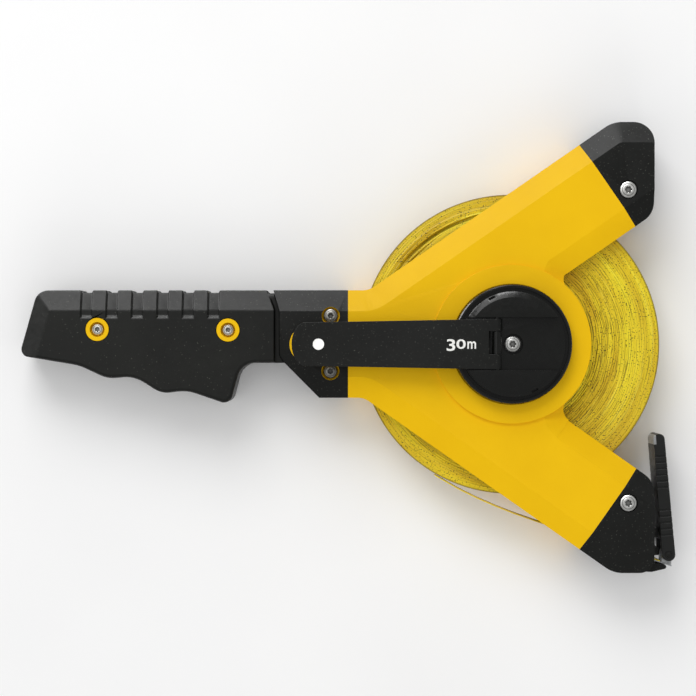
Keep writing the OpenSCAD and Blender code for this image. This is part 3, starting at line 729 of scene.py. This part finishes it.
# node, body, head radius, head height, shank radius, length (mm), finish
for node, body, head_r, head_t, shank_r, length, material in (
    ("cap_screws", "frame", 4.25, 2.3, 2.0, 28.0, ZINC),
    ("grip_screws", "frame", 3.0, 2.0, 1.5, 23.0, ZINC),
    # the collar screws take the darker zinc: painted shade of their deep counterbores
    ("collar_screws", "frame", 3.5, 2.2, 1.5, 26.0, SHADED_ZINC),
    ("disc_screw", "drum", 4.1, 2.7, 2.0, 12.6, ZINC),
):
    places, top = middle_of_solids(node)
    made = [
        screw(p, top, head_r, head_t, shank_r, length, 0.4 * k) for k, p in enumerate(places)
    ]
    made = surface(node + "_turned", [m[0] for m in made], [m[1] for m in made], poles=True)
    made.data.set_sharp_from_angle(angle=math.radians(38))
    hand_over(made, body, node, material)
    print(node, "at", [tuple(p.round(1)) for p in places])

# %% [markdown]
# ## The remaining solids
# Spindle, core and pins are hidden, and the run of tape and the rivet are already right as solids.
# They could be copied and rounded like the others, but nobody would see it. They keep their own
# mesh and only get their finish, through the slot they already have.

# %% Finishes on solid nodes


def paint(node, material):
    """Puts one finish on a solid node."""
    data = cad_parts[node].data
    if not data.materials:
        data.materials.append(material)
    for i in range(len(data.materials)):
        data.materials[i] = material


for node, material in {
    "spindle": STRIP,
    "drum_core": CORE,
    "tape_run": TAPE,
    "hinge_pin": BLACK_STEEL,
    "knob_rivet": BRIGHT,
    "hook_pin": BLACK_STEEL,
}.items():
    paint(node, material)
    print(node, "in", material.name)

# %% [markdown]
# ## Printing ink
# The length of the tape is pad printed on the crank in white. A pad lays the ink down thin, so it
# is a touch greyer where the grain below stands up. It could be a picture on the arm, but then the
# arm would need an unwrapped map. Ink on its own thin mesh stays crisp.

# %% Ink
INK_WEAR_MM = 0.625


def ink_finish():
    """White ink with a fine grey mottle."""
    m, t, shader, where = new_material("white_pad_print")
    worn = add(t, "TexNoise", {"Vector": where, "Scale": 1000 / INK_WEAR_MM, "Detail": 2.0})
    tones = [(0.3, linear("#d9d9d4")), (0.6, linear("#f6f6f2"))]
    base = add(t, "ValToRGB", [worn], stops=tones)
    plug(t, shader, {"Base Color": base, "Roughness": 0.5})
    return m


INK = ink_finish()
print("ink:", INK.name)

# %% [markdown]
# ## The length mark
# The mark is the only lettering kept: a length in metres, in old style figures, where the three
# hangs below the line and the nought is small. A font gives the shapes. Each character is
# stretched to its own box, because no font at hand has such figures, and stands three hundredths
# of a mm over the arm.

# %% Length mark
ARM_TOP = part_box("crank_arm")[1].z / MM
INK_HALF = 0.015
# each character: its left, right, foot and head on the arm, in mm
MARK = {
    "3": (-33.0, -28.8, -3.4, 2.5),
    "0": (-28.2, -23.6, -2.3, 2.4),
    "m": (-22.8, -18.5, -2.3, 1.4),
}


def glyph(character, left, right, foot, head):
    """One character as a mesh: x and y are mapped in a straight line from the font's box to this one,
    and z is lifted on to the arm."""
    curve = bpy.data.curves.new("glyph", "FONT")
    curve.body = character
    curve.size = 8.0 * MM
    curve.extrude = INK_HALF * MM
    curve.offset = 0.13 * MM
    text = bpy.data.objects.new("glyph", curve)
    bpy.context.scene.collection.objects.link(text)
    bpy.context.view_layer.update()
    evaluated = text.evaluated_get(bpy.context.evaluated_depsgraph_get())
    mesh = bpy.data.meshes.new_from_object(evaluated)
    bpy.data.objects.remove(text)
    co = np.array([v.co for v in mesh.vertices]) / MM
    lo, hi = co.min(0), co.max(0)
    co[:, 0] = left + (co[:, 0] - lo[0]) * (right - left) / (hi[0] - lo[0])
    co[:, 1] = foot + (co[:, 1] - lo[1]) * (head - foot) / (hi[1] - lo[1])
    co[:, 2] += ARM_TOP + INK_HALF
    mesh.vertices.foreach_set("co", (co * MM).ravel())
    return mesh


b = bmesh.new()
for character, box in MARK.items():
    b.from_mesh(glyph(character, *box))
mesh = bpy.data.meshes.new("length_mark")
b.to_mesh(mesh)
b.free()
mesh.materials.append(INK)
mark = bpy.data.objects.new("length_mark", mesh)
bpy.context.scene.collection.objects.link(mark)
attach(mark, "crank")
print("mark:", len(mark.data.polygons), "faces")

# %% [markdown]
# ## The table
# The reel lies on a plain white table. Its edge would show as a line if the table were small, and
# a curved backdrop needs a wide view to pay off. A flat square eight metres wide, a third of a mm
# below the reel, fills the view. It is a part of the stage and not of the object.

# %% Table
TABLE_HALF, TABLE_Z, MOTTLE_MM = 4.0, -0.0003, 167.0


def table_top():
    """A flat square with a faint slow mottle in its white."""
    m, t, shader, where = new_material("white_table")
    soft = add(t, "TexNoise", {"Vector": where, "Scale": 1000 / MOTTLE_MM, "Detail": 2.0})
    tones = [(0.3, linear("#f6f6f6")), (0.7, linear("#fafafa"))]
    base = add(t, "ValToRGB", [soft], stops=tones)
    plug(t, shader, {"Base Color": base, "Roughness": 0.9, "Specular IOR Level": 0.1})
    mesh = bpy.data.meshes.new("table_top")
    s, z = TABLE_HALF, TABLE_Z
    mesh.from_pydata([(-s, -s, z), (s, -s, z), (s, s, z), (-s, s, z)], [], [(0, 1, 2, 3)])
    mesh.materials.append(m)
    obj = bpy.data.objects.new("table_top", mesh)
    bpy.context.scene.collection.objects.link(obj)
    return obj


print("table:", [round(x, 2) for x in table_top().dimensions], "m")

# %% [markdown]
# ## A soft box
# A soft box is a lamp behind a white cloth, a metre or so across. The wider it is for its
# distance, the softer the shadow. A point light could stand in for it, but its shadows are as hard
# as the sun's. An area light is the same thing as the cloth. Each is placed as one would say it in
# a studio: how far round from the hook's side, and how far down from straight overhead.

# %% Soft box
# the middle of the reel, which every box faces
AIM = Vector((-0.08, 0.0, 0.02))


def leaning(azimuth, tilt):
    """Direction at an angle tilt from straight up, towards azimuth counted from +X, in degrees."""
    a, t = math.radians(azimuth), math.radians(tilt)
    return Vector((math.cos(a) * math.sin(t), math.sin(a) * math.sin(t), math.cos(t)))


def soft_box(name, azimuth, tilt, power, distance, size):
    """A square area light at a distance from the reel's middle, facing it. Metres and watts."""
    light = bpy.data.lights.new(name, "AREA")
    light.shape = "SQUARE"
    light.size = size
    light.energy = power
    obj = bpy.data.objects.new(name, light)
    bpy.context.scene.collection.objects.link(obj)
    way = leaning(azimuth, tilt).normalized()
    obj.location = AIM + way * distance
    obj.rotation_euler = way.to_track_quat("Z", "Y").to_euler()
    return obj


print("soft boxes face", tuple(round(x, 3) for x in AIM))

# %% [markdown]
# ## Key, edges and fills
# One box gives the shadow: the key, on the side of the upper arm. Black plastic is hard to light,
# because what makes its edges shine also greys its flat faces. A studio solves it with black
# cards. Here lights are split instead. The edge lights stand low and are only seen in reflections,
# so bevels gleam and flats stay black. The fill lights are only seen by the dull part of a
# surface, so they lift the yellow without mirroring in the black.

# %% Lights
soft_box("key", 108, 47, 13, distance=1.6, size=1.0)
for name, azimuth, tilt, power in (
    ("top_edge", 100, 72, 22.0),
    ("left_edge", 142, 80, 30.0),
    ("ramp_edge", 180, 24, 1.5),
):
    soft_box(name, azimuth, tilt, power, distance=1.7, size=0.7).visible_diffuse = False
for name, azimuth, tilt, power in (
    ("left_fill", 200, 64, 4.0),
    ("right_fill", 350, 64, 3.0),
    ("low_fill", 270, 64, 8.0),
    ("overhead_fill", 0, 0, 3.5),
):
    soft_box(name, azimuth, tilt, power, distance=1.9, size=1.3).visible_glossy = False

# %% [markdown]
# ## The room
# White walls send some light back from everywhere. A room could be built round the table, but an
# even white world does the same for an object this small. The Standard view keeps the measured
# colours, where a filmic one would bend them.

# %% World
world = bpy.data.worlds.new("studio")
world.use_nodes = True
sky = world.node_tree.nodes["Background"]
plug(world.node_tree, sky, {"Color": linear("#ffffff"), "Strength": 0.45})
bpy.context.scene.world = world
bpy.context.scene.view_settings.view_transform = "Standard"
print("world:", world.name)

# %% [markdown]
# ## Camera
# The camera looks straight down on the reel from a little over a metre over its front face. From
# any closer the crank would hide more of the handle, and from further it would look like a
# drawing. The lens follows from the height and from how much of the table has to fit the picture.

# %% Camera
# the camera's height over the front face in m, and the width of face that fits the picture in mm
HEIGHT, SHOWN_MM, SENSOR_MM = 1.1, 348.0, 36.0
MIDDLE_X, MIDDLE_Y, FRONT_FACE_Z = -0.08175, -0.0019, 0.036
camera_data = bpy.data.cameras.new("camera")
camera_data.sensor_width = SENSOR_MM
camera_data.lens = SENSOR_MM * HEIGHT * 1000 / SHOWN_MM
camera = bpy.data.objects.new("camera", camera_data)
bpy.context.scene.collection.objects.link(camera)
camera.location = (MIDDLE_X, MIDDLE_Y, FRONT_FACE_Z + HEIGHT)
bpy.context.scene.camera = camera
print("lens:", round(camera_data.lens, 1), "mm")
